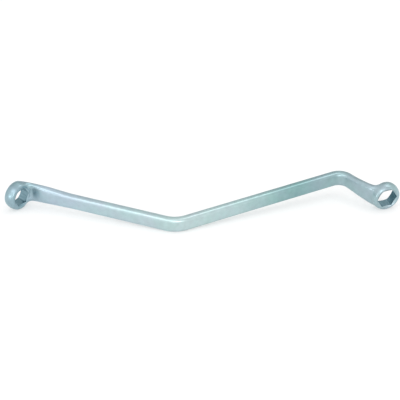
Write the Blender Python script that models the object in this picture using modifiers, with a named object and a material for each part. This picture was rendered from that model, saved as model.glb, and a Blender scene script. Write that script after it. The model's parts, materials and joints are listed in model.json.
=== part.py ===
"""Double-ended offset box wrench for brake bleeder screws, in metres.

The tool is bent in one plane. It is drawn with the V bend at the origin, the long arm along +X
and every bend in the XY plane, and is then laid on its side as it comes to rest on a bench.
"""

import math
from dataclasses import dataclass

import bmesh
import bpy
from mathutils import Matrix, Vector

# Bar of the shank
BAR_WIDTH = 0.0091  # across the plane of the bends
BAR_THICKNESS = 0.0052  # in the plane of the bends
BAR_CORNER_RADIUS = 0.0020
CORNER_LIMIT = 0.45  # largest corner radius, as a share of the wall it rounds

# Centre line, measured between the corners of its three straight runs
SHORT_ARM = 0.0967
LONG_ARM = 0.1122
OFFSET_NECK = 0.0290
V_BEND_DEG = 46.8
OFFSET_BEND_DEG = 73.8
V_BEND_RADIUS = 0.0151
OFFSET_BEND_RADIUS = 0.0082

# Hexagon sockets
SMALL_SOCKET = 0.0100  # across flats
LARGE_SOCKET = 0.0110
CORNER_TO_NECK_DEG = 30.0  # turns a corner of the hexagon to the neck
SOCKET_CLEARANCE = 0.0001  # added to the size of the bolt head
COUNTERSINK_MARGIN = 0.0002  # countersink past the corners of the hexagon
COUNTERSINK_DEG = 30.0  # slope of the countersink below the face

# Rings of the box ends
RING_WALL = 0.00325  # outside the flats of the larger socket
RING_DIAMETER = LARGE_SOCKET + 2 * RING_WALL
RING_CROWN = 0.0003  # how far the outer wall swells between its two edges
SMALL_RING_HEIGHT = 0.0071
LARGE_RING_HEIGHT = 0.0068
RING_EDGE_RADIUS = 0.0011
SMALL_HEAD_ANGLE_DEG = 69.5  # between the neck and the plane of the ring
LARGE_HEAD_ANGLE_DEG = 67.0
SMALL_SPOT_MARGIN = 0.0009  # diameter of the ring less the diameter faced off on the handle's side
LARGE_SPOT_MARGIN = 0.0026

# Necks, from the butt joint with the shank to the ring
SMALL_NECK_LENGTH = 0.0307
SMALL_NECK_MARGIN = 0.0041  # diameter of the ring less the width of the neck at its root
LARGE_NECK_MARGIN = 0.0026
NECK_FLARE = 1.6  # power of the way along the neck by which it widens
NECK_SWELL = 2.0  # power by which it thickens
NECK_CURL = 4.0  # power by which its outer side rounds
SMALL_NECK_THICKENING = 0.0011  # extra thickness at the ring
LARGE_NECK_THICKENING = 0.0022
SMALL_NECK_DEPTH = 0.0024  # centre line of the neck inside the ring's wall, at mid height
LARGE_NECK_DEPTH = 0.0034
NECK_COVER = 0.0009  # from the root of the neck to the bolt face of the ring
BUTT_GAP = 0.0003  # between neighbouring zones of the forging

# Facets
RING_STEPS = 64
EDGE_STEPS = 5
CORNER_STEPS = 5
BEND_STEP_DEG = 6.0
NECK_STATIONS = 14
WELD = 0.00001  # points closer than this are one point

PRODUCT_NAME = "brake_bleeder_wrench"
PLATED_STEEL = (0.60, 0.66, 0.68, 1.0)
STEEL_ROUGHNESS = 0.28
CREASE_DEG = 35.0  # edges sharper than this stay crisp


def clear_scene():
    for old in list(bpy.data.objects):
        bpy.data.objects.remove(old, do_unlink=True)


def new_collection(name):
    collection = bpy.data.collections.new(name)
    bpy.context.scene.collection.children.link(collection)
    return collection


def steel(name):
    material = bpy.data.materials.new(name)
    material.use_nodes = True
    shader = material.node_tree.nodes["Principled BSDF"]
    shader.inputs["Base Color"].default_value = PLATED_STEEL
    shader.inputs["Metallic"].default_value = 1.0
    shader.inputs["Roughness"].default_value = STEEL_ROUGHNESS
    return material


def add_object(name, data, collection):
    thing = bpy.data.objects.new(name, data)
    collection.objects.link(thing)
    return thing


def evaluated_mesh(thing):
    """The object's mesh with its modifiers, in its own coordinates."""
    bpy.context.view_layer.update()
    depsgraph = bpy.context.evaluated_depsgraph_get()
    return bpy.data.meshes.new_from_object(thing.evaluated_get(depsgraph), depsgraph=depsgraph)


def heading(degrees):
    return Vector((math.cos(math.radians(degrees)), math.sin(math.radians(degrees)), 0.0))


def rounded_rectangle(thickness, width, radius):
    """Outline in two dimensions, thickness along the first axis, counter-clockwise."""
    radius = min(radius, CORNER_LIMIT * thickness, CORNER_LIMIT * width)
    across = thickness / 2 - radius
    along = width / 2 - radius
    corners = ((across, along), (-across, along), (-across, -along), (across, -along))
    outline = []
    for quarter, (x, y) in enumerate(corners):
        for step in range(CORNER_STEPS + 1):
            turn = math.radians(90) * (quarter + step / CORNER_STEPS)
            outline.append((x + radius * math.cos(turn), y + radius * math.sin(turn)))
    return outline


def bend_tangent(radius, bend_deg):
    """Length from the corner of the centre line to the start of its bend."""
    return radius * math.tan(math.radians(bend_deg) / 2)


def bend_points(corner, inward_deg, bend_deg, radius):
    """Arc that turns a run heading along inward_deg by bend_deg, positive to the left."""
    side = math.copysign(1.0, bend_deg)
    start = corner - heading(inward_deg) * bend_tangent(radius, abs(bend_deg))
    centre = start + heading(inward_deg + side * 90) * radius
    steps = math.ceil(abs(bend_deg) / BEND_STEP_DEG)
    return [
        centre - heading(inward_deg + side * 90 + bend_deg * step / steps) * radius
        for step in range(steps + 1)
    ]


class CentreLine:
    """Corners and headings of the three straight runs, from the small end to the large end."""

    short_heading = -V_BEND_DEG
    neck_heading = -OFFSET_BEND_DEG
    v_corner = Vector((0.0, 0.0, 0.0))
    offset_corner = Vector((LONG_ARM, 0.0, 0.0))
    small_seat = v_corner - heading(short_heading) * SHORT_ARM
    large_seat = offset_corner + heading(neck_heading) * OFFSET_NECK
    large_neck_length = OFFSET_NECK - bend_tangent(OFFSET_BEND_RADIUS, OFFSET_BEND_DEG)


def make_shank(parts):
    """The bar: its section swept along the two arms and round both bends."""
    start = CentreLine.small_seat + heading(CentreLine.short_heading) * (SMALL_NECK_LENGTH + BUTT_GAP)
    route = [start]
    route += bend_points(CentreLine.v_corner, CentreLine.short_heading, V_BEND_DEG, V_BEND_RADIUS)
    route += bend_points(CentreLine.offset_corner, 0.0, -OFFSET_BEND_DEG, OFFSET_BEND_RADIUS)

    section = bpy.data.curves.new("bar_section", "CURVE")
    section.dimensions = "2D"
    outline = section.splines.new("POLY")
    points = rounded_rectangle(BAR_THICKNESS, BAR_WIDTH, BAR_CORNER_RADIUS)
    outline.points.add(len(points) - 1)
    for point, (x, y) in zip(outline.points, points):
        point.co = (x, y, 0.0, 1.0)
    outline.use_cyclic_u = True
    section_object = add_object("bar_section", section, parts)

    path = bpy.data.curves.new("bar_path", "CURVE")
    path.dimensions = "3D"
    path.twist_mode = "Z_UP"
    path.bevel_mode = "OBJECT"
    path.bevel_object = section_object
    path.use_fill_caps = True
    spline = path.splines.new("POLY")
    spline.points.add(len(route) - 1)
    for point, place in zip(spline.points, route):
        point.co = (*place, 1.0)
    path_object = add_object("bar_path", path, parts)

    mesh = evaluated_mesh(path_object)
    mesh.name = "shank"
    weld_and_face_out(mesh)
    bpy.data.objects.remove(path_object, do_unlink=True)
    bpy.data.objects.remove(section_object, do_unlink=True)
    return finish_part("shank", mesh, parts)


def weld_and_face_out(mesh):
    form = bmesh.new()
    form.from_mesh(mesh)
    bmesh.ops.remove_doubles(form, verts=form.verts, dist=WELD)
    bmesh.ops.recalc_face_normals(form, faces=form.faces)
    form.to_mesh(mesh)
    form.free()


def finish_part(name, mesh, parts):
    part = add_object(name, mesh, parts)
    mesh.materials.clear()
    mesh.materials.append(steel(name + "_steel"))
    mesh.shade_smooth()
    mesh.set_sharp_from_angle(angle=math.radians(CREASE_DEG))
    return part


def ring_profile(height):
    """Half section of the solid ring, from the top of its axis down its crowned wall to the bottom."""
    radius = RING_DIAMETER / 2
    shoulder = height / 2 - RING_EDGE_RADIUS
    wall_centre = radius - RING_CROWN - RING_EDGE_RADIUS
    profile = [(0.0, height / 2)]
    for step in range(EDGE_STEPS + 1):
        turn = math.radians(90) * (1 - step / EDGE_STEPS)
        across = RING_EDGE_RADIUS * math.cos(turn)
        profile.append((wall_centre + across, shoulder + RING_EDGE_RADIUS * math.sin(turn)))
    profile.append((radius, 0.0))
    profile += [(x, -z) for x, z in reversed(profile[:-1])]
    return profile


def make_ring(name, height, parts):
    """Solid ring blank, turned about its own Z axis."""
    form = bmesh.new()
    verts = [form.verts.new((x, 0.0, z)) for x, z in ring_profile(height)]
    for upper, lower in zip(verts, verts[1:]):
        form.edges.new((upper, lower))
    mesh = bpy.data.meshes.new(name)
    form.to_mesh(mesh)
    form.free()
    ring = add_object(name, mesh, parts)
    screw = ring.modifiers.new("turn", "SCREW")
    screw.axis = "Z"
    screw.steps = RING_STEPS
    screw.render_steps = RING_STEPS
    screw.use_merge_vertices = True
    screw.merge_threshold = WELD
    return ring


def neck_section(share, root_width, thickening, crown):
    """Section of the neck at a share of the way from the shank (0) to its root in the ring (1).

    The outer side rounds off towards the root until it follows the curve of the ring's wall.
    """
    thickness = BAR_THICKNESS + thickening * share**NECK_SWELL
    width = BAR_WIDTH + (root_width - BAR_WIDTH) * share**NECK_FLARE
    section = []
    for x, y in rounded_rectangle(thickness, width, BAR_CORNER_RADIUS):
        outward = x / thickness + 0.5
        drop = crown * share**NECK_CURL * outward * (2 * y / width) ** 2
        section.append((x - drop, y))
    return section


def make_neck(name, end, parts):
    """Loft from the section of the bar to the curve of the ring.

    The ring's axis is Z, X points from it to the neck and Z to the handle's side. The sections
    turn from square to the neck, at the shank, to level with the ring, at the root.
    """
    lean = math.radians(90 - end.head_angle)
    ring_radius = RING_DIAMETER / 2
    root_width = RING_DIAMETER - end.neck_margin
    crown = ring_radius - math.sqrt(ring_radius**2 - (root_width / 2) ** 2)
    along = Vector((math.sin(lean), 0.0, math.cos(lean)))
    square = Vector((math.cos(lean), 0.0, -math.sin(lean)))
    overrun = (end.ring_height / 2 - NECK_COVER) / math.cos(lean)
    root = Vector((ring_radius - end.neck_depth, 0.0, 0.0)) - along * overrun
    run = end.neck_length + overrun

    form = bmesh.new()
    loops = []
    for station in range(NECK_STATIONS + 1):
        share = station / NECK_STATIONS
        middle = root + along * run * (1 - share)
        outward = square + along * (share * math.tan(lean))
        section = neck_section(share, root_width, end.neck_thickening, crown)
        loops.append([form.verts.new(middle + outward * x + Vector((0.0, y, 0.0))) for x, y in section])
    for first, second in zip(loops, loops[1:]):
        for index, corner in enumerate(first):
            form.faces.new((first[index - 1], corner, second[index], second[index - 1]))
    form.faces.new(loops[0])
    form.faces.new(loops[-1])
    bmesh.ops.recalc_face_normals(form, faces=form.faces)
    mesh = bpy.data.meshes.new(name)
    form.to_mesh(mesh)
    form.free()
    return add_object(name, mesh, parts)


def make_cutter(name, sides, radius_top, radius_bottom, depth, cutters):
    form = bmesh.new()
    bmesh.ops.create_cone(
        form,
        cap_ends=True,
        segments=sides,
        radius1=radius_bottom,
        radius2=radius_top,
        depth=depth,
    )
    mesh = bpy.data.meshes.new(name)
    form.to_mesh(mesh)
    form.free()
    cutter = add_object(name, mesh, cutters)
    cutter.hide_render = True
    cutter.display_type = "WIRE"
    return cutter


def boolean(part, other, operation):
    change = part.modifiers.new(other.name, "BOOLEAN")
    change.operation = operation
    change.object = other


@dataclass
class BoxEnd:
    """What the two box ends do not share."""

    name: str
    seat: Vector  # where the neck's centre line meets the middle of the ring
    handle_heading: float  # from the ring along the neck, in degrees
    head_angle: float  # between the neck and the plane of the ring, in degrees
    neck_length: float
    neck_margin: float
    neck_thickening: float
    neck_depth: float
    ring_height: float
    socket: float
    spot_margin: float


def make_box_end(end, parts, cutters):
    """Ring and neck in one, with its socket broached right through and countersunk on both faces."""
    height = end.ring_height
    ring = make_ring(end.name + "_ring", height, parts)
    neck = make_neck(end.name + "_neck", end, parts)
    boolean(ring, neck, "UNION")

    spot = (RING_DIAMETER - end.spot_margin) / 2
    facer = make_cutter(end.name + "_spot_facer", RING_STEPS, spot, spot, end.neck_length, cutters)
    facer.location.z = height / 2 + end.neck_length / 2
    boolean(ring, facer, "DIFFERENCE")

    flat_radius = (end.socket + SOCKET_CLEARANCE) / 2
    corner_radius = flat_radius / math.cos(math.radians(30))
    broach = make_cutter(end.name + "_broach", 6, corner_radius, corner_radius, 2 * height, cutters)
    broach.rotation_euler.z = math.radians(CORNER_TO_NECK_DEG)
    boolean(ring, broach, "DIFFERENCE")

    slope = math.tan(math.radians(COUNTERSINK_DEG))
    mouth = corner_radius + COUNTERSINK_MARGIN
    overrun = COUNTERSINK_MARGIN
    depth = (mouth - flat_radius) * slope + overrun
    for side, label in ((1, "handle"), (-1, "bolt")):
        sink = make_cutter(
            f"{end.name}_{label}_countersink",
            RING_STEPS,
            mouth + overrun / slope,
            flat_radius,
            depth,
            cutters,
        )
        sink.location.z = side * (height / 2 + overrun - depth / 2)
        sink.rotation_euler.x = 0.0 if side > 0 else math.pi
        sink.rotation_euler.z = math.pi / RING_STEPS
        boolean(ring, sink, "DIFFERENCE")

    mesh = evaluated_mesh(ring)
    mesh.name = end.name
    bpy.data.objects.remove(ring, do_unlink=True)
    bpy.data.objects.remove(neck, do_unlink=True)
    part = finish_part(end.name, mesh, parts)

    toward_neck = heading(end.handle_heading + end.head_angle)
    toward_handle = heading(end.handle_heading + end.head_angle - 90)
    turn = Matrix((toward_neck, Vector((0.0, 0.0, 1.0)), toward_handle)).transposed()
    centre = end.seat - toward_neck * (RING_DIAMETER / 2 - end.neck_depth)
    part.matrix_world = Matrix.Translation(centre) @ turn.to_4x4()
    return part


def volume_and_moment(points, triangles):
    volume = 0.0
    moment = Vector((0.0, 0.0, 0.0))
    for corners in triangles:
        a, b, c = (points[index] for index in corners)
        share = a.dot(b.cross(c)) / 6
        volume += share
        moment += (a + b + c) * (share / 4)
    return volume, moment


def lay_down(parts, rest):
    """Turn the tool onto the face of its convex hull nearest under its centre of mass."""
    bpy.context.view_layer.update()
    hull = bmesh.new()
    volume = 0.0
    moment = Vector((0.0, 0.0, 0.0))
    for part in parts:
        points = [part.matrix_world @ vertex.co for vertex in part.data.vertices]
        part.data.calc_loop_triangles()
        part_volume, part_moment = volume_and_moment(
            points, (triangle.vertices for triangle in part.data.loop_triangles)
        )
        volume += part_volume
        moment += part_moment
        for point in points:
            hull.verts.new(point)
    centre = moment / volume
    bmesh.ops.convex_hull(hull, input=hull.verts)
    hull.normal_update()
    under = [face for face in hull.faces if face.normal.z < 0]
    floor = min(under, key=lambda face: (face.verts[0].co - centre).dot(face.normal))
    turn = (-floor.normal).rotation_difference(Vector((0.0, 0.0, 1.0)))
    turned = [turn @ vertex.co for vertex in hull.verts]
    hull.free()

    low = Vector([min(point[axis] for point in turned) for axis in range(3)])
    high = Vector([max(point[axis] for point in turned) for axis in range(3)])
    rest.rotation_mode = "QUATERNION"
    rest.rotation_quaternion = turn
    rest.location = (-(low.x + high.x) / 2, -(low.y + high.y) / 2, -low.z)
    for part in parts:
        part.parent = rest


def main():
    clear_scene()
    parts = new_collection(PRODUCT_NAME)
    cutters = new_collection(PRODUCT_NAME + "_cutters")
    rest = add_object("resting_pose", None, parts)

    shank = make_shank(parts)
    small = BoxEnd(
        name="small_box_end",
        seat=CentreLine.small_seat,
        handle_heading=CentreLine.short_heading,
        head_angle=SMALL_HEAD_ANGLE_DEG,
        neck_length=SMALL_NECK_LENGTH,
        neck_margin=SMALL_NECK_MARGIN,
        neck_thickening=SMALL_NECK_THICKENING,
        neck_depth=SMALL_NECK_DEPTH,
        ring_height=SMALL_RING_HEIGHT,
        socket=SMALL_SOCKET,
        spot_margin=SMALL_SPOT_MARGIN,
    )
    large = BoxEnd(
        name="large_box_end",
        seat=CentreLine.large_seat,
        handle_heading=CentreLine.neck_heading + 180,
        head_angle=LARGE_HEAD_ANGLE_DEG,
        neck_length=CentreLine.large_neck_length - BUTT_GAP,
        neck_margin=LARGE_NECK_MARGIN,
        neck_thickening=LARGE_NECK_THICKENING,
        neck_depth=LARGE_NECK_DEPTH,
        ring_height=LARGE_RING_HEIGHT,
        socket=LARGE_SOCKET,
        spot_margin=LARGE_SPOT_MARGIN,
    )
    ends = [make_box_end(end, parts, cutters) for end in (small, large)]
    lay_down([shank, *ends], rest)


main()
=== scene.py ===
"""Looks for the brake bleeder wrench: one seamless plated forging on a pale studio floor.

The tool is drawn as it is bent, with the V bend at the origin, the long arm along +X and every
bend in the XY plane, and is then laid where its solids lie in the frame.
"""

import json
import math
from dataclasses import dataclass

import bmesh
import bpy
import numpy as np
from mathutils import Matrix, Vector


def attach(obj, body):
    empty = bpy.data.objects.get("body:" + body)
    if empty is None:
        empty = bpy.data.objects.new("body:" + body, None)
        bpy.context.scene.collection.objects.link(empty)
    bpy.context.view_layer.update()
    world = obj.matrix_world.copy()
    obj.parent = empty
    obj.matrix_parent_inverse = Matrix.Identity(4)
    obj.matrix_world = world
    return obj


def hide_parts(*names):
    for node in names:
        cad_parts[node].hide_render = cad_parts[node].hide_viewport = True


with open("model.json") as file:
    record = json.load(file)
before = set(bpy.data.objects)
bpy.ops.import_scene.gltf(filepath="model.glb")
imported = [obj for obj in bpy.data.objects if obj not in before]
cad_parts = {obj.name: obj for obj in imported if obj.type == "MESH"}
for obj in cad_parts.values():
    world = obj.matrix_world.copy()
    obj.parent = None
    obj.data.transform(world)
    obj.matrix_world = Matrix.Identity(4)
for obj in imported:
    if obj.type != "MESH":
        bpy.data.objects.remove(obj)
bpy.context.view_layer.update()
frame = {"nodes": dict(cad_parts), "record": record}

# Bar, in metres
BAR_WIDTH = 0.0091
BAR_THICKNESS = 0.0052
BAR_CORNER_RADIUS = 0.0020
BAR_OVERLAP = 0.0010  # bar inside each neck
BUTT_GAP = 0.0003  # between the solids in the frame

# Centre line between the corners of its straight runs
SHORT_ARM = 0.0967
LONG_ARM = 0.1122
OFFSET_NECK = 0.0290
V_BEND_DEG = 46.8
OFFSET_BEND_DEG = 73.8
V_BEND_RADIUS = 0.0151
OFFSET_BEND_RADIUS = 0.0082

# Rings and sockets
RING_DIAMETER = 0.0175
RING_CROWN = 0.0003  # how far the outer wall swells between its two edges
RING_EDGE_RADIUS = 0.0016
HEXAGON_SIDES = 6
CORNER_TO_NECK_DEG = 30.0  # turns a corner of the hexagon to the neck
SOCKET_CLEARANCE = 0.0001
COUNTERSINK_MARGIN = 0.0002  # countersink past the corners of the hexagon
COUNTERSINK_DEG = 30.0  # slope of the countersink below the face
FACER_REACH = 0.0200  # facing cut above the face on the handle's side
CUTTER_OVERRUN = 0.0002  # countersink cutter past each face

# Necks
NECK_FLARE = 1.3  # power of the way along the neck by which it widens
NECK_SWELL = 2.0  # power by which it thickens
NECK_CURL = 4.0  # power by which its outer side rounds
NECK_COVER = 0.0009  # from the root of the neck to the bolt face of the ring

# Soft foot of each neck: where the skin starts to join in, and the run to where it joins in fully
NECK_SIDE = (0.0010, 0.0040)  # from the socket's axis towards the neck
OFF_SEAT = (0.0005, 0.0012)  # out from the mouth of the countersink
OFF_BOLT_FACE = (0.0004, 0.0012)  # up from the bolt face
OFF_EDGES = (0.0, 0.0030)  # in from the edges of the neck
INNER_SIDE = (-0.0010, 0.0015)  # from the middle of the neck towards the socket
FILLET_FOOT = (-0.0006, 0.0006)  # up from the face on the handle's side

# And where it starts to drop out again, and the run to where it is left alone
BLEND_TOP = (0.0040, 0.0060)  # up from the face on the handle's side
BLEND_REACH = (0.0120, 0.0040)  # out from the socket's axis
FILLET_TOP = (0.0020, 0.0200)  # up from the face on the handle's side

# Fineness of the forging
VOXEL = 0.00024
WELD = 2e-6  # points closer than this become one
CREASE_DEG = 20.0  # edges sharper than this stay crisp
CORNER_STEPS = 10
BEND_STEP_DEG = 1.5
NECK_STATIONS = 48
RING_STEPS = 192
PULL = 0.50  # of the way to the neighbours' mean in one round
PUSH_BACK = -0.52  # of the way, to keep the skin from shrinking
SKIN_ROUNDS = 14
BLEND_ROUNDS = 120
FILLET_ROUNDS = 1050

# Plating: its tone along the tool, as a share of the way from the small end to the large end. Its hue
# is the plating's, but its brightness is partly painted light: painted shade at the small ring and
# before the offset bend, and painted light at the V bend
TONE_X = (-0.10, 0.10)
TONE_SHARES = (-0.06, 0.94)
TONE_CLOUD = 0.12  # how far the clouds shift the tone
PLATING_TONES_AND_PAINTED_SHADE = (
    (0.00, (0.315, 0.445, 0.495, 1.0)),
    (0.08, (0.45, 0.57, 0.635, 1.0)),
    (0.39, (0.53, 0.645, 0.65, 1.0)),
    (0.58, (0.46, 0.61, 0.61, 1.0)),
    (0.76, (0.265, 0.43, 0.435, 1.0)),
    (0.94, (0.38, 0.50, 0.53, 1.0)),
)
SHEEN_TONES = ((0.32, (0.94, 1.0, 0.98, 1.0)), (0.68, (1.0, 0.965, 1.0, 1.0)))
# Painted shade in the sockets: their walls darker and more teal than the plating
SOCKET_SHADE_TONES = ((0.30, (0.15, 0.265, 0.31, 1.0)), (0.70, (0.24, 0.365, 0.42, 1.0)))
BROACHED_ROUGHNESS = 0.18
BROACH_DRAW = (1.0, 1.0, 0.04)  # stretches the lines along the socket's axis

# Range of a noise, and the range of brightness or roughness that it gives the plating
MOTTLE = ((0.30, 0.70), (0.94, 1.06))
GLOSS = ((0.25, 0.75), (0.30, 0.42))

# Noise: scale per metre, detail and roughness
CLOUD_NOISE = (70.0, 4.0, 0.55)
SHEEN_NOISE = (95.0, 2.0, 0.50)
MOTTLE_NOISE = (330.0, 4.0, 0.60)
GLOSS_NOISE = (420.0, 5.0, 0.60)
GRAIN_NOISE = (2600.0, 3.0, 0.55)
BROACH_NOISE = (3200.0, 3.0, 0.50)

# Relief: strength, and depth in metres
GRAIN_RELIEF = (0.10, 0.00006)
BROACH_RELIEF = (0.25, 0.00005)

# Studio
FLOOR_SIZE = (5.0, 5.0)
FLOOR_PLACE = (0.0, 0.0, -0.0001)  # just under the tool
FLOOR_COLOR = (0.97, 0.97, 0.97, 1.0)
FLOOR_WHITE_SHARE = 0.45
BACK_WALL_SIZE = (5.4, 3.0)
BACK_WALL_PLACE = (0.8, 2.3, 1.5)
BACK_WALL_TURN = (math.radians(90), 0.0, math.radians(-16))
BACK_WALL_COLOR = (0.66, 0.68, 0.68, 1.0)
WHITE = (1.0, 1.0, 1.0, 1.0)

# Lamps, all aimed at the origin: place, size in metres and watts
LAMPS = {
    "key": ((-0.80, -0.44, 0.93), (1.1, 0.8), 3.2),
    "front": ((-0.37, -1.15, 0.30), (0.7, 0.5), 3.0),
    "side": ((-1.18, -0.12, 0.12), (0.25, 0.25), 1.05),
    "top": ((0.47, 0.02, 1.10), (0.5, 0.5), 1.2),
}

# Camera at the photograph's angle
VIEW_AZIMUTH_DEG = -26.7431
VIEW_ELEVATION_DEG = 28.7556
VIEW_ROLL_DEG = 0.3973
VIEW_DISTANCE = 0.8928
PIXELS_PER_METRE = 1659.8588  # at the origin
FRAME_PIXELS = 400
FRAME_SHIFT = (0.9939, 7.5493)  # in pixels
SENSOR_WIDTH = 36.0
NEAREST_SEEN = 0.01


def heading(degrees):
    """Direction in the plane of the bends, from +X towards +Y."""
    return Vector((math.cos(math.radians(degrees)), math.sin(math.radians(degrees)), 0.0))


# Headings and corners of the centre line, from the small end to the large end
SHORT_HEADING = -V_BEND_DEG
NECK_HEADING = -OFFSET_BEND_DEG
V_CORNER = Vector((0.0, 0.0, 0.0))
OFFSET_CORNER = Vector((LONG_ARM, 0.0, 0.0))


@dataclass
class BoxEnd:
    """What the two box ends do not share."""

    name: str
    seat: Vector  # where the neck's centre line meets the middle of the ring
    handle_heading: float  # from the ring along the neck, in degrees
    head_angle: float  # between the neck and the plane of the ring, in degrees
    height: float  # of the ring
    socket: float  # across flats
    spot_margin: float  # diameter of the ring less the diameter faced off on the handle's side
    neck_length: float
    neck_margin: float  # diameter of the ring less the width of the neck at its root
    neck_depth: float  # centre line of the neck inside the ring's wall, at mid height
    thickening: float  # extra thickness of the neck at the ring
    rounding: float  # extra corner radius of the neck at the ring


SMALL = BoxEnd(
    name="small",
    seat=V_CORNER - heading(SHORT_HEADING) * SHORT_ARM,
    handle_heading=SHORT_HEADING,
    head_angle=69.5,
    height=0.0071,
    socket=0.0100,
    spot_margin=0.0009,
    neck_length=0.0307,
    neck_margin=0.0024,
    neck_depth=0.0024,
    thickening=0.0011,
    rounding=0.0003,
)
LARGE = BoxEnd(
    name="large",
    seat=OFFSET_CORNER + heading(NECK_HEADING) * OFFSET_NECK,
    handle_heading=NECK_HEADING + 180,
    head_angle=67.0,
    height=0.0068,
    socket=0.0110,
    spot_margin=0.0026,
    neck_length=OFFSET_NECK - OFFSET_BEND_RADIUS * math.tan(math.radians(OFFSET_BEND_DEG / 2)),
    neck_margin=0.0006,
    neck_depth=0.0034,
    thickening=0.0022,
    rounding=0.0012,
)


def resting_pose():
    """From the tool as it is drawn to the tool as it lies, read from the frame.

    Both bolt faces look along the plane of the bends, so the two together give its normal. The
    middle of the butt face on the shank's short arm gives the place.
    """
    looks = {mount["name"]: Vector(mount["axis"]) for mount in frame["record"]["mounts"]}
    normal = looks["small_bolt_face"].cross(looks["large_bolt_face"])
    turn = Vector((0.0, 0.0, 1.0)).rotation_difference(normal).to_matrix()
    points = [turn.transposed() @ vertex.co for vertex in frame["nodes"]["shank"].data.vertices]
    outward = -heading(SHORT_HEADING)
    reach = max(point.dot(outward) for point in points)
    face = np.array([point for point in points if reach - point.dot(outward) < BUTT_GAP])
    found = Vector((face.min(axis=0) + face.max(axis=0)) / 2)
    drawn = V_CORNER + outward * (SHORT_ARM - SMALL.neck_length - BUTT_GAP)
    return turn.to_4x4() @ Matrix.Translation(found - drawn)


RESTING = resting_pose()


def rounded_rectangle(thickness, width, radius):
    """Outline in two dimensions, thickness along the first axis, counter-clockwise."""
    across = thickness / 2 - radius
    along = width / 2 - radius
    corners = ((across, along), (-across, along), (-across, -along), (across, -along))
    outline = []
    for quarter, (x, y) in enumerate(corners):
        for step in range(CORNER_STEPS + 1):
            turn = math.radians(90) * (quarter + step / CORNER_STEPS)
            outline.append((x + radius * math.cos(turn), y + radius * math.sin(turn)))
    return outline


def mesh_object(name, form, material):
    mesh = bpy.data.meshes.new(name)
    form.to_mesh(mesh)
    form.free()
    mesh.materials.append(material)
    thing = bpy.data.objects.new(name, mesh)
    bpy.context.scene.collection.objects.link(thing)
    return thing


def applied(thing):
    """The object with its modifiers made part of its mesh."""
    bpy.context.view_layer.update()
    depsgraph = bpy.context.evaluated_depsgraph_get()
    mesh = bpy.data.meshes.new_from_object(thing.evaluated_get(depsgraph), depsgraph=depsgraph)
    thing.modifiers.clear()
    old = thing.data
    thing.data = mesh
    bpy.data.meshes.remove(old)
    return thing


def combine(base, other, operation):
    """The base joined with the other object or cut by it, which uses the other up."""
    change = base.modifiers.new(operation, "BOOLEAN")
    change.operation = operation
    change.solver = "EXACT"
    change.material_mode = "TRANSFER"
    change.object = other
    applied(base)
    bpy.data.objects.remove(other, do_unlink=True)
    return base


def bend_stations(corner, inward_deg, bend_deg, radius):
    """Points and headings round a bend of the centre line, positive to the left."""
    side = math.copysign(1.0, bend_deg)
    tangent = radius * math.tan(math.radians(abs(bend_deg)) / 2)
    centre = corner - heading(inward_deg) * tangent + heading(inward_deg + side * 90) * radius
    steps = math.ceil(abs(bend_deg) / BEND_STEP_DEG)
    stations = []
    for step in range(steps + 1):
        turned = bend_deg * step / steps
        point = centre - heading(inward_deg + side * 90 + turned) * radius
        stations.append((point, inward_deg + turned))
    return stations


def bar_loops():
    """Sections of the bar along its centre line, their first axis to the left of the heading."""
    start = SMALL.seat + heading(SHORT_HEADING) * SMALL.neck_length
    finish = OFFSET_CORNER + heading(NECK_HEADING) * (OFFSET_NECK - LARGE.neck_length + BAR_OVERLAP)
    stations = [
        (start - heading(SHORT_HEADING) * BAR_OVERLAP, SHORT_HEADING),
        (start, SHORT_HEADING),
        *bend_stations(V_CORNER, SHORT_HEADING, V_BEND_DEG, V_BEND_RADIUS),
        *bend_stations(OFFSET_CORNER, 0.0, -OFFSET_BEND_DEG, OFFSET_BEND_RADIUS),
        (finish, NECK_HEADING),
    ]
    section = rounded_rectangle(BAR_THICKNESS, BAR_WIDTH, BAR_CORNER_RADIUS)
    return [
        [place + heading(heading_deg + 90) * x + Vector((0.0, 0.0, y)) for x, y in section]
        for place, heading_deg in stations
    ]


def end_frame(end):
    """Ring's frame: X to the neck, Y up from the plane of the bends, Z to the handle's side."""
    toward_neck = heading(end.handle_heading + end.head_angle)
    toward_handle = heading(end.handle_heading + end.head_angle - 90)
    turn = Matrix((toward_neck, Vector((0.0, 0.0, 1.0)), toward_handle)).transposed()
    centre = end.seat - toward_neck * (RING_DIAMETER / 2 - end.neck_depth)
    return Matrix.Translation(centre) @ turn.to_4x4()


def neck_width(end, share):
    """Width at a share of the way from the bar (0) to the root of the neck in the ring (1)."""
    root_width = RING_DIAMETER - end.neck_margin
    return BAR_WIDTH + (root_width - BAR_WIDTH) * share**NECK_FLARE


def neck_loops(end):
    """Sections from the bar to the root of the neck, whose outer side curls to the ring's wall."""
    place = end_frame(end)
    lean = math.radians(90 - end.head_angle)
    ring_radius = RING_DIAMETER / 2
    crown = ring_radius - math.sqrt(ring_radius**2 - (neck_width(end, 1.0) / 2) ** 2)
    along = Vector((math.sin(lean), 0.0, math.cos(lean)))
    square = Vector((math.cos(lean), 0.0, -math.sin(lean)))
    overrun = (end.height / 2 - NECK_COVER) / math.cos(lean)
    root = Vector((ring_radius - end.neck_depth, 0.0, 0.0)) - along * overrun
    run = end.neck_length + overrun
    loops = []
    for station in range(NECK_STATIONS + 1):
        share = station / NECK_STATIONS
        thickness = BAR_THICKNESS + end.thickening * share**NECK_SWELL
        width = neck_width(end, share)
        middle = root + along * run * (1 - share)
        outward = square + along * (share * math.tan(lean))
        loop = []
        for x, y in rounded_rectangle(thickness, width, BAR_CORNER_RADIUS + end.rounding * share):
            drop = crown * share**NECK_CURL * (x / thickness + 0.5) * (2 * y / width) ** 2
            loop.append(place @ (middle + outward * (x - drop) + Vector((0.0, y, 0.0))))
        loops.append(loop)
    return loops


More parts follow.
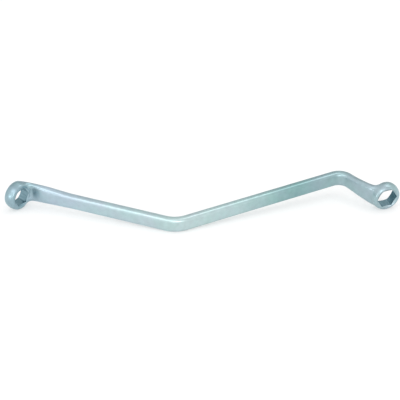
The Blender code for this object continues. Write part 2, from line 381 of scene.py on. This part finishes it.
def loft(name, loops, material):
    """Closed solid through a row of sections with as many points each."""
    form = bmesh.new()
    rows = [[form.verts.new(point) for point in loop] for loop in loops]
    for first, second in zip(rows, rows[1:]):
        for index, corner in enumerate(first):
            form.faces.new((first[index - 1], corner, second[index], second[index - 1]))
    form.faces.new(rows[0])
    form.faces.new(rows[-1])
    bmesh.ops.recalc_face_normals(form, faces=form.faces)
    return mesh_object(name, form, material)


def ring_profile(height):
    """Half section of the solid ring, from the top of its axis down its crowned wall to the bottom."""
    shoulder = height / 2 - RING_EDGE_RADIUS
    wall = RING_DIAMETER / 2 - RING_CROWN
    profile = [(0.0, height / 2)]
    for step in range(CORNER_STEPS + 1):
        turn = math.radians(90) * (1 - step / CORNER_STEPS)
        across = wall - RING_EDGE_RADIUS + RING_EDGE_RADIUS * math.cos(turn)
        profile.append((across, shoulder + RING_EDGE_RADIUS * math.sin(turn)))
    for step in range(1, CORNER_STEPS + 1):
        z = shoulder * (1 - step / CORNER_STEPS)
        profile.append((wall + RING_CROWN * (1 - (z / shoulder) ** 2), z))
    profile += [(x, -z) for x, z in reversed(profile[:-1])]
    return profile


def ring_blank(end, material):
    """Solid ring with a crowned wall and rounded edges, turned about its own Z axis."""
    form = bmesh.new()
    verts = [form.verts.new((x, 0.0, z)) for x, z in ring_profile(end.height)]
    for upper, lower in zip(verts, verts[1:]):
        form.edges.new((upper, lower))
    bmesh.ops.spin(
        form,
        geom=form.verts[:] + form.edges[:],
        cent=(0.0, 0.0, 0.0),
        axis=(0.0, 0.0, 1.0),
        angle=math.tau,
        steps=RING_STEPS,
        use_merge=True,
    )
    bmesh.ops.remove_doubles(form, verts=form.verts, dist=WELD)
    bmesh.ops.recalc_face_normals(form, faces=form.faces)
    ring = mesh_object(end.name + "_ring", form, material)
    ring.data.transform(end_frame(end))
    return ring


def cutter(name, material, sides, radius_top, radius_bottom, low, high, turn_deg=0.0):
    """Prism or cut-off cone about the Z axis, between two heights."""
    form = bmesh.new()
    middle = Matrix.Translation((0.0, 0.0, (low + high) / 2))
    bmesh.ops.create_cone(
        form,
        cap_ends=True,
        segments=sides,
        radius1=radius_bottom,
        radius2=radius_top,
        depth=high - low,
        matrix=middle @ Matrix.Rotation(math.radians(turn_deg), 4, "Z"),
    )
    return mesh_object(name, form, material)


def facer(end, plated):
    """Ground cleared round the socket on the handle's side, into the foot of the neck."""
    spot = (RING_DIAMETER - end.spot_margin) / 2
    face = end.height / 2
    tool = cutter(end.name + "_facer", plated, RING_STEPS, spot, spot, face, face + FACER_REACH)
    tool.data.transform(end_frame(end))
    return tool


def flat_radius(end):
    """From the socket's axis to a flat of the hexagon."""
    return (end.socket + SOCKET_CLEARANCE) / 2


def corner_radius(end):
    """From the socket's axis to a corner of the hexagon."""
    return flat_radius(end) / math.cos(math.pi / HEXAGON_SIDES)


def mouth_radius(end):
    """From the socket's axis to the rim of the countersink in the face."""
    return corner_radius(end) + COUNTERSINK_MARGIN


def socket_tool(end, plated):
    """The hexagon, broached right through, and the countersink at both of its mouths."""
    name = end.name + "_socket"
    height = end.height
    flat = flat_radius(end)
    corner = corner_radius(end)
    slope = math.tan(math.radians(COUNTERSINK_DEG))
    wide = mouth_radius(end) + CUTTER_OVERRUN / slope
    inner = height / 2 - (mouth_radius(end) - flat) * slope
    outer = height / 2 + CUTTER_OVERRUN
    half_facet = 180 / RING_STEPS
    # Walls of the socket in painted shade, darker than the plating
    walls = socket_walls_with_painted_shade(name + "_walls", end)
    tool = cutter(name, walls, HEXAGON_SIDES, corner, corner, -height, height, CORNER_TO_NECK_DEG)
    upper = cutter(name + "_upper", plated, RING_STEPS, wide, flat, inner, outer, half_facet)
    lower = cutter(name + "_lower", plated, RING_STEPS, flat, wide, -outer, -inner, half_facet)
    combine(tool, upper, "UNION")
    combine(tool, lower, "UNION")
    tool.data.transform(end_frame(end))
    return tool


def points_of(mesh):
    """Places of the mesh's points, one row each."""
    places = np.empty(len(mesh.vertices) * 3)
    mesh.vertices.foreach_get("co", places)
    return places.reshape(-1, 3)


def relax(mesh, weight, rounds, factors):
    """Even out the skin: each factor moves the points by that share towards their neighbours' mean."""
    places = points_of(mesh)
    edges = np.empty(len(mesh.edges) * 2, dtype=np.int64)
    mesh.edges.foreach_get("vertices", edges)
    first, second = edges.reshape(-1, 2).T
    moving = np.flatnonzero(weight)
    order = np.full(len(places), -1)
    order[moving] = np.arange(len(moving))
    ends = order[np.concatenate((first, second))]
    others = np.concatenate((second, first))[ends >= 0]
    ends = ends[ends >= 0]
    degree = np.bincount(ends, minlength=len(moving))
    for _ in range(rounds):
        for factor in factors:
            sums = [np.bincount(ends, weights=places[others, axis]) for axis in range(3)]
            mean = np.stack([total / degree for total in sums], axis=1)
            places[moving] += (mean - places[moving]) * (weight[moving] * factor)[:, None]
    mesh.vertices.foreach_set("co", places.ravel())
    mesh.update()


def fade(values, start, run):
    """0 up to the start, 1 from a run further on, and straight between."""
    return np.clip((values - start) / run, 0.0, 1.0)


def foot_weights(end, points):
    """How far each point joins in the blend round the foot of a neck and in the fillet inside it."""
    inverse = np.array(end_frame(end).inverted())
    x, y, z = (points @ inverse[:3, :3].T + inverse[:3, 3]).T
    radius = np.hypot(x, y)
    above_face = z - end.height / 2
    beside = fade(x, *NECK_SIDE) * fade(radius - mouth_radius(end), *OFF_SEAT)

    blend = beside * fade(z + end.height / 2, *OFF_BOLT_FACE)
    blend *= (1.0 - fade(above_face, *BLEND_TOP)) * (1.0 - fade(radius, *BLEND_REACH))

    middle = RING_DIAMETER / 2 - end.neck_depth + z / math.tan(math.radians(end.head_angle))
    share = np.clip(1.0 - above_face / end.neck_length, 0.0, 1.0)
    fillet = beside * fade(middle - x, *INNER_SIDE)
    fillet *= fade(neck_width(end, share) / 2 - np.abs(y), *OFF_EDGES)
    fillet *= fade(above_face, *FILLET_FOOT) * (1.0 - fade(above_face, *FILLET_TOP))
    return blend, fillet


def one_skin(blank, pieces):
    """All the pieces joined to the blank under one even skin."""
    form = bmesh.new()
    for piece in [blank, *pieces]:
        form.from_mesh(piece.data)
    form.to_mesh(blank.data)
    form.free()
    for piece in pieces:
        bpy.data.objects.remove(piece, do_unlink=True)
    remesh = blank.modifiers.new("one_skin", "REMESH")
    remesh.mode = "VOXEL"
    remesh.voxel_size = VOXEL
    return applied(blank)


def close_short_edges(mesh):
    """Close up the slivers that the cuts leave along their rims."""
    form = bmesh.new()
    form.from_mesh(mesh)
    bmesh.ops.dissolve_degenerate(form, dist=WELD, edges=form.edges)
    form.to_mesh(mesh)
    form.free()


def make_forging():
    """The whole tool under one skin, softened at the foot of each neck, with both sockets cut in it."""
    plated = plated_steel_and_painted_shade()
    blank = loft("forging", bar_loops(), plated)
    pieces = []
    for end in (SMALL, LARGE):
        neck = loft(end.name + "_neck", neck_loops(end), plated)
        pieces.append(combine(neck, facer(end, plated), "DIFFERENCE"))
        pieces.append(ring_blank(end, plated))
    mesh = one_skin(blank, pieces).data

    relax(mesh, np.ones(len(mesh.vertices)), SKIN_ROUNDS, (PULL, PUSH_BACK))
    small_weights = foot_weights(SMALL, points_of(mesh))
    large_weights = foot_weights(LARGE, points_of(mesh))
    blend, fillet = np.maximum(small_weights, large_weights)
    relax(mesh, blend, BLEND_ROUNDS, (PULL,))
    relax(mesh, fillet, FILLET_ROUNDS, (PULL,))

    for end in (SMALL, LARGE):
        combine(blank, socket_tool(end, plated), "DIFFERENCE")
    close_short_edges(blank.data)
    blank.data.transform(RESTING)
    blank.data.shade_smooth()
    blank.data.set_sharp_from_angle(angle=math.radians(CREASE_DEG))
    return blank


def metal(name):
    material = bpy.data.materials.new(name)
    material.use_nodes = True
    shader = material.node_tree.nodes["Principled BSDF"]
    shader.inputs["Metallic"].default_value = 1.0
    return material, material.node_tree, shader


def object_place(tree):
    return tree.nodes.new("ShaderNodeTexCoord").outputs["Object"]


def noise(tree, place, scale, detail, roughness):
    node = tree.nodes.new("ShaderNodeTexNoise")
    node.inputs["Scale"].default_value = scale
    node.inputs["Detail"].default_value = detail
    node.inputs["Roughness"].default_value = roughness
    tree.links.new(place, node.inputs["Vector"])
    return node.outputs["Fac"]


def remap(tree, value, given, wanted):
    """The value carried from the given range to the wanted one."""
    node = tree.nodes.new("ShaderNodeMapRange")
    limits = zip(("From Min", "From Max", "To Min", "To Max"), (*given, *wanted))
    for label, limit in limits:
        node.inputs[label].default_value = limit
    tree.links.new(value, node.inputs["Value"])
    return node.outputs["Result"]


def tones(tree, value, stops):
    """Colour for the value, blended between the stops."""
    node = tree.nodes.new("ShaderNodeValToRGB")
    elements = node.color_ramp.elements
    elements[0].position, elements[0].color = stops[0]
    elements[-1].position, elements[-1].color = stops[-1]
    for position, color in stops[1:-1]:
        elements.new(position).color = color
    tree.links.new(value, node.inputs["Fac"])
    return node.outputs["Color"]


def product(tree, first, second):
    """First times second, axis by axis, where the second is another node's output or plain numbers."""
    node = tree.nodes.new("ShaderNodeVectorMath")
    node.operation = "MULTIPLY"
    tree.links.new(first, node.inputs[0])
    if isinstance(second, tuple):
        node.inputs[1].default_value = second
    else:
        tree.links.new(second, node.inputs[1])
    return node.outputs["Vector"]


def relief(tree, height, shader, strength, depth):
    node = tree.nodes.new("ShaderNodeBump")
    node.inputs["Strength"].default_value = strength
    node.inputs["Distance"].default_value = depth
    tree.links.new(height, node.inputs["Height"])
    tree.links.new(node.outputs["Normal"], shader.inputs["Normal"])


def plated_steel_and_painted_shade():
    """Satin plating: a tone that drifts along the tool, with painted shade and painted light in its
    brightness, a faint sheen, mottling and fine forged grain.
    """
    material, tree, shader = metal("satin_plated_steel")
    place = object_place(tree)
    along = tree.nodes.new("ShaderNodeSeparateXYZ")
    tree.links.new(place, along.inputs[0])
    cloud = tree.nodes.new("ShaderNodeMath")
    cloud.operation = "MULTIPLY_ADD"
    cloud.inputs[1].default_value = TONE_CLOUD
    tree.links.new(noise(tree, place, *CLOUD_NOISE), cloud.inputs[0])
    tree.links.new(remap(tree, along.outputs["X"], TONE_X, TONE_SHARES), cloud.inputs[2])

    # Tone along the tool: the plating's hue, with painted shade at the small ring and before the offset
    # bend and painted light at the V bend
    tone = tones(tree, cloud.outputs[0], PLATING_TONES_AND_PAINTED_SHADE)
    sheen = tones(tree, noise(tree, place, *SHEEN_NOISE), SHEEN_TONES)
    mottle = remap(tree, noise(tree, place, *MOTTLE_NOISE), *MOTTLE)
    gloss = remap(tree, noise(tree, place, *GLOSS_NOISE), *GLOSS)
    tree.links.new(product(tree, product(tree, tone, sheen), mottle), shader.inputs["Base Color"])
    tree.links.new(gloss, shader.inputs["Roughness"])
    relief(tree, noise(tree, place, *GRAIN_NOISE), shader, *GRAIN_RELIEF)
    return material


def socket_walls_with_painted_shade(name, end):
    """Walls of a socket, painted darker and more teal than the plating as painted shade in the socket,
    with the broach's lines along its axis.
    """
    material, tree, shader = metal(name)
    shader.inputs["Roughness"].default_value = BROACHED_ROUGHNESS
    ring = RESTING @ end_frame(end)
    inward = tree.nodes.new("ShaderNodeMapping")
    inward.vector_type = "TEXTURE"
    inward.inputs["Location"].default_value = ring.translation
    inward.inputs["Rotation"].default_value = ring.to_euler()
    tree.links.new(object_place(tree), inward.inputs["Vector"])
    drawn = product(tree, inward.outputs["Vector"], BROACH_DRAW)
    lines = noise(tree, drawn, *BROACH_NOISE)
    # Painted shade: the broach's lines in dark teal, darker than the plating
    tree.links.new(tones(tree, lines, SOCKET_SHADE_TONES), shader.inputs["Base Color"])
    relief(tree, lines, shader, *BROACH_RELIEF)
    return material


def seen_directly(tree):
    """1 for rays that look at the set directly, in a mirror or through glass."""
    path = tree.nodes.new("ShaderNodeLightPath")
    total = path.outputs["Is Camera Ray"]
    for name in ("Is Glossy Ray", "Is Transmission Ray"):
        both = tree.nodes.new("ShaderNodeMath")
        both.operation = "MAXIMUM"
        tree.links.new(total, both.inputs[0])
        tree.links.new(path.outputs[name], both.inputs[1])
        total = both.outputs[0]
    return total


def stage_plane(name, place, turn, size, color):
    """Matt sheet of the set, and the nodes of its material."""
    form = bmesh.new()
    bmesh.ops.create_grid(form, x_segments=1, y_segments=1, size=1.0)
    material = bpy.data.materials.new(name)
    material.use_nodes = True
    plane = mesh_object(name, form, material)
    plane.location = place
    plane.rotation_euler = turn
    plane.scale = (size[0] / 2, size[1] / 2, 1.0)
    tree = material.node_tree
    tree.nodes.clear()
    output = tree.nodes.new("ShaderNodeOutputMaterial")
    matt = tree.nodes.new("ShaderNodeBsdfDiffuse")
    matt.inputs["Color"].default_value = color
    tree.links.new(matt.outputs[0], output.inputs["Surface"])
    return tree, matt, output


def make_floor():
    """Pale floor, part of it plain white to the eye, which still takes the tool's shadow."""
    tree, matt, output = stage_plane("floor", FLOOR_PLACE, (0.0, 0.0, 0.0), FLOOR_SIZE, FLOOR_COLOR)
    white = tree.nodes.new("ShaderNodeEmission")
    white.inputs["Color"].default_value = WHITE
    white.inputs["Strength"].default_value = 1.0
    share = tree.nodes.new("ShaderNodeMath")
    share.operation = "MULTIPLY"
    share.inputs[1].default_value = FLOOR_WHITE_SHARE
    tree.links.new(seen_directly(tree), share.inputs[0])
    mix = tree.nodes.new("ShaderNodeMixShader")
    tree.links.new(share.outputs[0], mix.inputs["Fac"])
    tree.links.new(matt.outputs[0], mix.inputs[1])
    tree.links.new(white.outputs[0], mix.inputs[2])
    tree.links.new(mix.outputs[0], output.inputs["Surface"])


def make_back_wall():
    """Grey wall far behind the tool, for the metal to mirror."""
    stage_plane("back_wall", BACK_WALL_PLACE, BACK_WALL_TURN, BACK_WALL_SIZE, BACK_WALL_COLOR)


def make_world():
    world = bpy.data.worlds.new("studio")
    bpy.context.scene.world = world
    world.use_nodes = True
    room = world.node_tree.nodes["Background"]
    room.inputs["Color"].default_value = WHITE
    room.inputs["Strength"].default_value = 1.0


def make_lamp(name, place, size, watts):
    lamp = bpy.data.lights.new(name, "AREA")
    lamp.shape = "RECTANGLE"
    lamp.size, lamp.size_y = size
    lamp.energy = watts
    thing = bpy.data.objects.new(name, lamp)
    bpy.context.scene.collection.objects.link(thing)
    thing.location = place
    thing.rotation_euler = (-Vector(place)).to_track_quat("-Z", "Y").to_euler()


def make_camera():
    azimuth = math.radians(VIEW_AZIMUTH_DEG)
    elevation = math.radians(VIEW_ELEVATION_DEG)
    roll = math.radians(VIEW_ROLL_DEG)
    toward = Vector((math.sin(azimuth), -math.cos(azimuth), 0.0))
    back = toward * math.cos(elevation) + Vector((0.0, 0.0, math.sin(elevation)))
    right = Vector((math.cos(azimuth), math.sin(azimuth), 0.0))
    up = back.cross(right)
    rolled_right = right * math.cos(roll) + up * math.sin(roll)
    rolled_up = up * math.cos(roll) - right * math.sin(roll)
    lens = bpy.data.cameras.new("camera")
    lens.sensor_fit = "HORIZONTAL"
    lens.sensor_width = SENSOR_WIDTH
    lens.lens = SENSOR_WIDTH * PIXELS_PER_METRE * VIEW_DISTANCE / FRAME_PIXELS
    lens.shift_x = -FRAME_SHIFT[0] / FRAME_PIXELS
    lens.shift_y = FRAME_SHIFT[1] / FRAME_PIXELS
    lens.clip_start = NEAREST_SEEN
    camera = bpy.data.objects.new("camera", lens)
    bpy.context.scene.collection.objects.link(camera)
    turn = Matrix((rolled_right, rolled_up, back)).transposed().to_4x4()
    camera.matrix_world = Matrix.Translation(back * VIEW_DISTANCE) @ turn
    bpy.context.scene.camera = camera


forging = make_forging()
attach(forging, "root")
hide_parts("shank", "small_box_end", "large_box_end")

make_floor()
make_back_wall()
make_world()
for lamp_name, (lamp_place, lamp_size, lamp_watts) in LAMPS.items():
    make_lamp(lamp_name, lamp_place, lamp_size, lamp_watts)
make_camera()
bpy.context.scene.view_settings.view_transform = "Standard"
